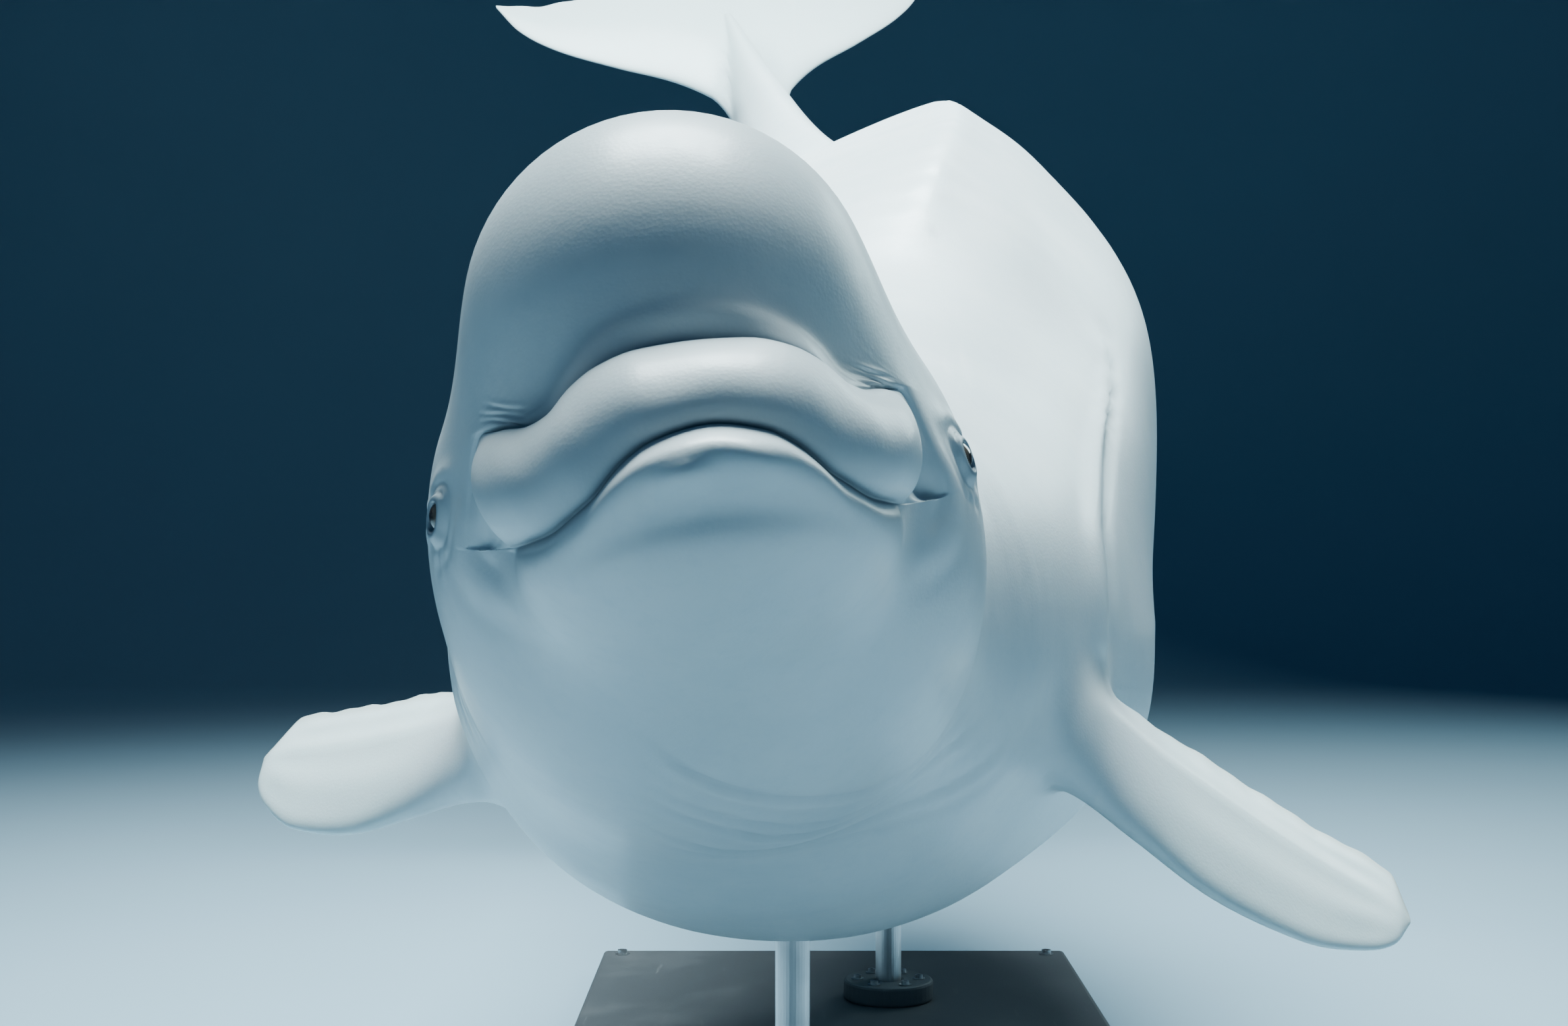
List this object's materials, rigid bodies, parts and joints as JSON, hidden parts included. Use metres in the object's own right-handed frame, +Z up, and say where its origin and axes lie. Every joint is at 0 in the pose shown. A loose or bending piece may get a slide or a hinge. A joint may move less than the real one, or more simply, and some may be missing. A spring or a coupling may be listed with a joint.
{
  "type": "beluga whale",
  "caption": "White toothed whale with a domed melon, short beak, broad flippers and raised flukes, posed swimming on a flat base with steel rods.",
  "frame": {"origin": "middle of the whole model's footprint, on the floor under the stand", "axes": "+Z up, -Y the way the head faces, +X the animal's left"},
  "size_m": [1.352, 3.507, 2.0685],
  "materials": {
    "skin": "satin",
    "fin": "satin",
    "eye": "gloss",
    "steel": "brushed",
    "base": "satin"
  },
  "bodies": {
    "root": {"head": "skin", "lower_jaw": "skin", "neck": "skin", "chest": "skin", "abdomen": "skin", "loin": "skin", "tail_stock": "skin", "flipper_left": "fin", "flipper_right": "fin", "fluke_left": "fin", "fluke_right": "fin", "eye_left": "eye", "eye_right": "eye", "stand_base": "base", "stand_rod_front": "steel", "stand_rod_rear": "steel", "stand_collar_front": "base", "stand_collar_rear": "base"}
  },
  "joints": []
}
